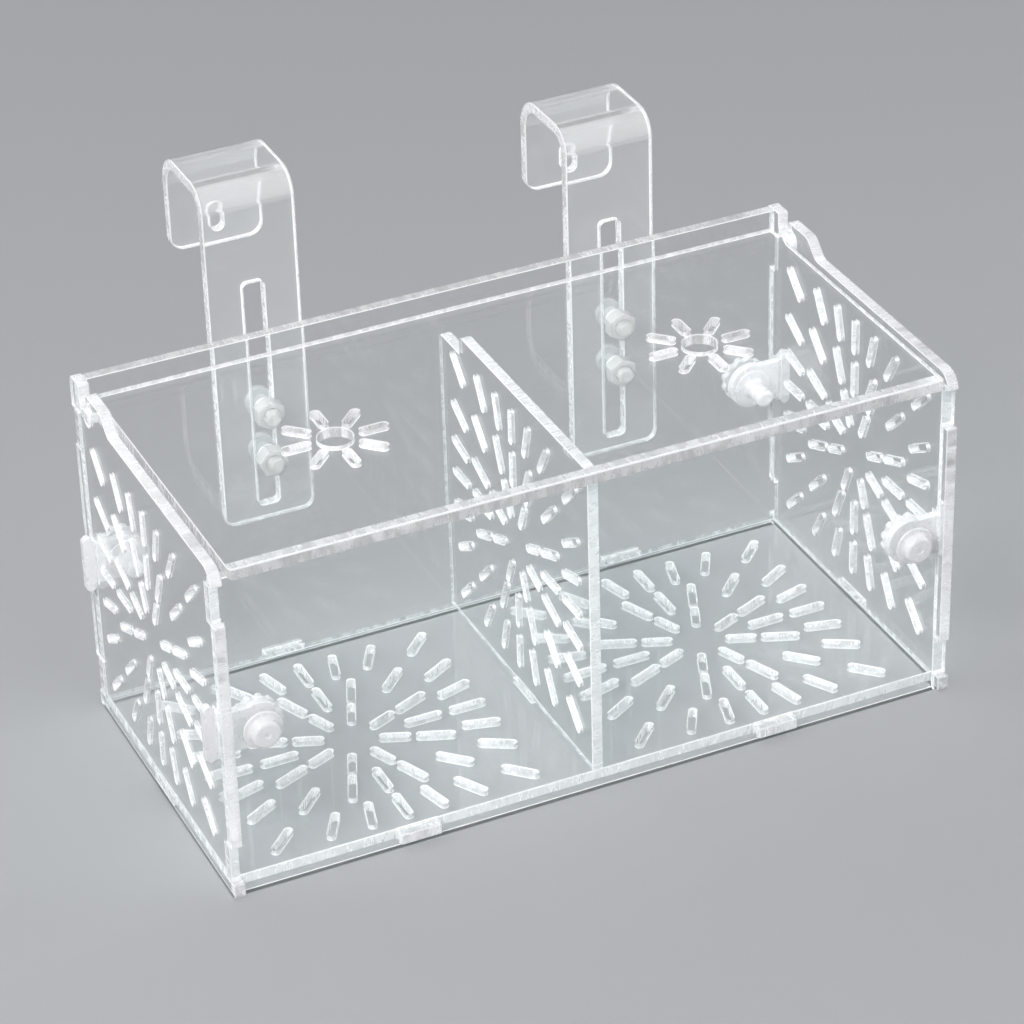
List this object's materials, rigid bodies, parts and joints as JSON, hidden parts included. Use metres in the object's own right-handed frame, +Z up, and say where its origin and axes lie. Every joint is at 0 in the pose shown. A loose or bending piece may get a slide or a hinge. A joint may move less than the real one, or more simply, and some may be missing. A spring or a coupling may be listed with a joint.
{
  "type": "fish breeding box",
  "caption": "Hang-on clear box for fish fry: radially slotted walls and floor, a divider, a hinged lid with feeding holes, and sliding slotted hooks for a tank's rim.",
  "frame": {"origin": "on the ground, in the middle of the box's overall width and of its overall depth with the hooks", "axes": "+X along the box to the right, +Y from the front to the hooks at the back, +Z up"},
  "size_m": [0.2056, 0.1248, 0.1415],
  "materials": {
    "panel_acrylic": "clear laser-cut acrylic sheet with bright cut edges",
    "lid_acrylic": "clear laser-cut acrylic sheet with bright cut edges",
    "hook_acrylic": "clear acrylic strip, heat-bent",
    "nylon_fasteners": "natural nylon, slightly milky",
    "clip_plastic": "translucent white moulded plastic"
  },
  "bodies": {
    "box": {"left_side_panel": "panel_acrylic", "right_side_panel": "panel_acrylic", "front_panel": "panel_acrylic", "back_panel": "panel_acrylic", "bottom_panel": "panel_acrylic", "divider": "panel_acrylic", "left_lower_hook_bolt": "nylon_fasteners", "left_upper_hook_bolt": "nylon_fasteners", "right_lower_hook_bolt": "nylon_fasteners", "right_upper_hook_bolt": "nylon_fasteners", "left_lower_hook_nut": "nylon_fasteners", "left_upper_hook_nut": "nylon_fasteners", "right_lower_hook_nut": "nylon_fasteners", "right_upper_hook_nut": "nylon_fasteners", "front_left_clip": "clip_plastic", "front_right_clip": "clip_plastic", "back_left_clip": "clip_plastic", "back_right_clip": "clip_plastic", "front_left_clip_pin": "clip_plastic", "front_right_clip_pin": "clip_plastic", "back_left_clip_pin": "clip_plastic", "back_right_clip_pin": "clip_plastic", "front_left_clip_nut": "clip_plastic", "front_right_clip_nut": "clip_plastic", "back_left_clip_nut": "clip_plastic", "back_right_clip_nut": "clip_plastic"},
    "lid": {"lid": "lid_acrylic"},
    "left_hook": {"left_hook": "hook_acrylic"},
    "right_hook": {"right_hook": "hook_acrylic"}
  },
  "joints": [
    {"name": "lid_hinge", "type": "hinge", "parent": "box", "child": "lid", "pos_m": [0, 0.02415, 0.0935], "axis": [-1, 0, 0], "range_deg": [0, 98]},
    {"name": "left_hook_slide", "type": "slide", "parent": "box", "child": "left_hook", "axis": [0, 0, 1], "range_m": [-0.034, 0.012]},
    {"name": "right_hook_slide", "type": "slide", "parent": "box", "child": "right_hook", "axis": [0, 0, 1], "range_m": [-0.027, 0.019]}
  ]
}
